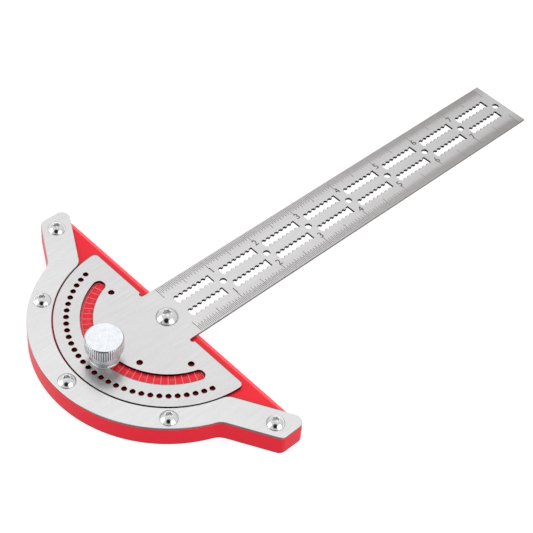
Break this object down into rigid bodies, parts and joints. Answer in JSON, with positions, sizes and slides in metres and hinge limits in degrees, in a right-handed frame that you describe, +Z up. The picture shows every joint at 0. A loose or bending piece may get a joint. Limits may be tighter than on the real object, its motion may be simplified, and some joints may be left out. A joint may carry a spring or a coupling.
{
  "type": "edge-rule protractor",
  "caption": "Woodworking protractor: a flat eared fence body, and a thin steel fan and rule that swing on a pivot, click at index holes and are held by a knurled lock screw.",
  "frame": {"origin": "on the pivot axis, at the underside of the fence body", "axes": "+Z up, out of the fan's face; +Y along the rule when it is square to the fence, and out of the fence face; +X along the fence, to the right when seen from above with the rule pointing away"},
  "size_m": [0.153, 0.2706, 0.0225],
  "materials": {
    "red_anodised": "red anodised aluminium, satin",
    "stainless_plate": "fine satin stainless sheet",
    "stainless_blade": "fine satin stainless sheet with dark etched marks",
    "bright_screw": "bright stainless",
    "turned_steel": "bright turned and knurled steel",
    "bronze_bushing": "turned bronze",
    "dark_steel": "dark hardened steel",
    "bright_ball": "polished steel ball"
  },
  "bodies": {
    "fence": {"fence_body": "red_anodised", "rim_plate": "stainless_plate", "rim_screw_1": "bright_screw", "rim_screw_2": "bright_screw", "rim_screw_3": "bright_screw", "rim_screw_4": "bright_screw", "rim_screw_5": "bright_screw", "pivot_bushing": "bronze_bushing", "pivot_screw": "bright_screw", "detent_set_screw": "dark_steel", "detent_spring": "dark_steel"},
    "blade": {"blade": "stainless_blade"},
    "lock_washer": {"lock_washer": "turned_steel"},
    "lock_knob": {"lock_knob": "turned_steel"},
    "detent_ball": {"detent_ball": "bright_ball"}
  },
  "joints": [
    {"name": "blade_swing", "type": "hinge", "parent": "fence", "child": "blade", "pos_m": [0, 0, 0.0096], "axis": [0, 0, 1], "range_deg": [-70, 70]},
    {"name": "lock_lift", "type": "slide", "parent": "fence", "child": "lock_washer", "axis": [0, 0, 1], "range_m": [0, 0.0016]},
    {"name": "lock_turn", "type": "hinge", "parent": "lock_washer", "child": "lock_knob", "pos_m": [0, -0.0332, 0.0113], "axis": [0, 0, 1], "range_deg": [0, 720]},
    {"name": "detent_press", "type": "slide", "parent": "fence", "child": "detent_ball", "axis": [0, 0, 1], "range_m": [-0.0005, 0], "stiffness_N_per_m": 400, "springref_m": 0.0005, "deforming": ["detent_spring"]}
  ],
  "couplings": [
    {"joint": "lock_lift", "follows": "lock_turn", "m_per_rad": 0.00012732}
  ]
}
